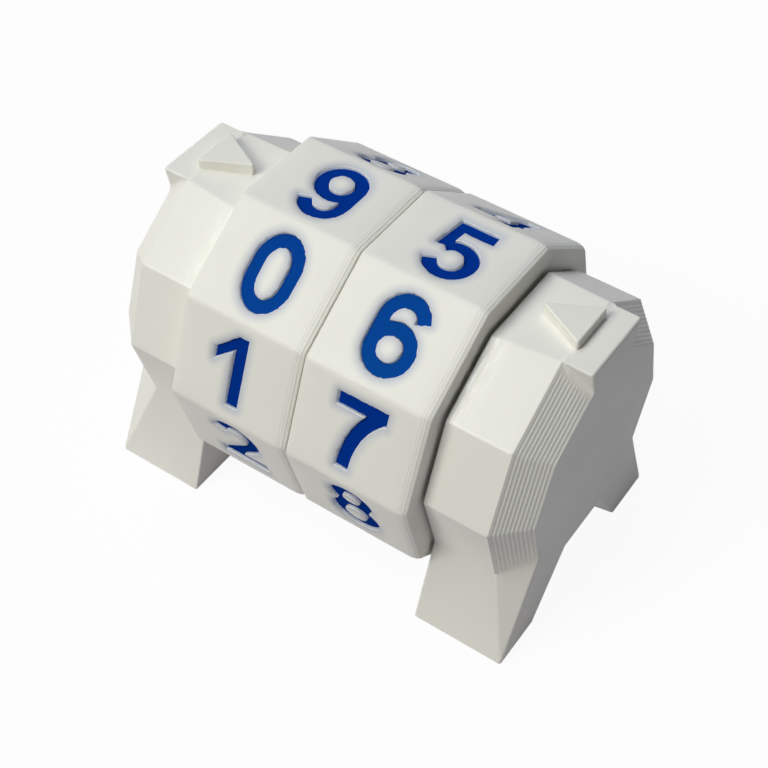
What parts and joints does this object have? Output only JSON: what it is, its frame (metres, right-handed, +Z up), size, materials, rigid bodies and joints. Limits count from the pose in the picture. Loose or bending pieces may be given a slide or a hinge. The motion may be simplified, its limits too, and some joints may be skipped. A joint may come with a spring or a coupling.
{
  "type": "life counter",
  "caption": "Table-top life counter: faceted number drums turn on an axle between end caps that have splayed legs and raised pointer triangles.",
  "frame": {"origin": "on the table, midway between the four feet, straight under the middle of the axle", "axes": "+X along the axle from the tens drum to the units drum, +Y away from the reader, +Z up"},
  "size_m": [0.05, 0.0364, 0.0364],
  "materials": {
    "cap_plastic": "off-white printed plastic, satin",
    "drum_plastic": "off-white printed plastic, satin",
    "inner_plastic": "off-white printed plastic, satin",
    "digit_plastic": "royal blue printed plastic, satin"
  },
  "bodies": {
    "frame": {"left_cap": "cap_plastic", "right_cap": "cap_plastic", "axle": "inner_plastic", "tens_click_ring": "inner_plastic", "units_click_ring": "inner_plastic"},
    "tens_wheel": {"tens_drum": "drum_plastic", "tens_digit_0": "digit_plastic", "tens_digit_1": "digit_plastic", "tens_digit_2": "digit_plastic", "tens_digit_3": "digit_plastic", "tens_digit_4": "digit_plastic", "tens_digit_5": "digit_plastic", "tens_digit_6": "digit_plastic", "tens_digit_7": "digit_plastic", "tens_digit_8": "digit_plastic", "tens_digit_9": "digit_plastic"},
    "units_wheel": {"units_drum": "drum_plastic", "units_digit_0": "digit_plastic", "units_digit_1": "digit_plastic", "units_digit_2": "digit_plastic", "units_digit_3": "digit_plastic", "units_digit_4": "digit_plastic", "units_digit_5": "digit_plastic", "units_digit_6": "digit_plastic", "units_digit_7": "digit_plastic", "units_digit_8": "digit_plastic", "units_digit_9": "digit_plastic"}
  },
  "joints": [
    {"name": "tens_drum_turn", "type": "hinge", "parent": "frame", "child": "tens_wheel", "pos_m": [0, 0, 0.0191], "axis": [1, 0, 0], "continuous": true, "deforming": ["tens_click_ring"]},
    {"name": "units_drum_turn", "type": "hinge", "parent": "frame", "child": "units_wheel", "pos_m": [0, 0, 0.0191], "axis": [1, 0, 0], "continuous": true, "deforming": ["units_click_ring"]}
  ]
}
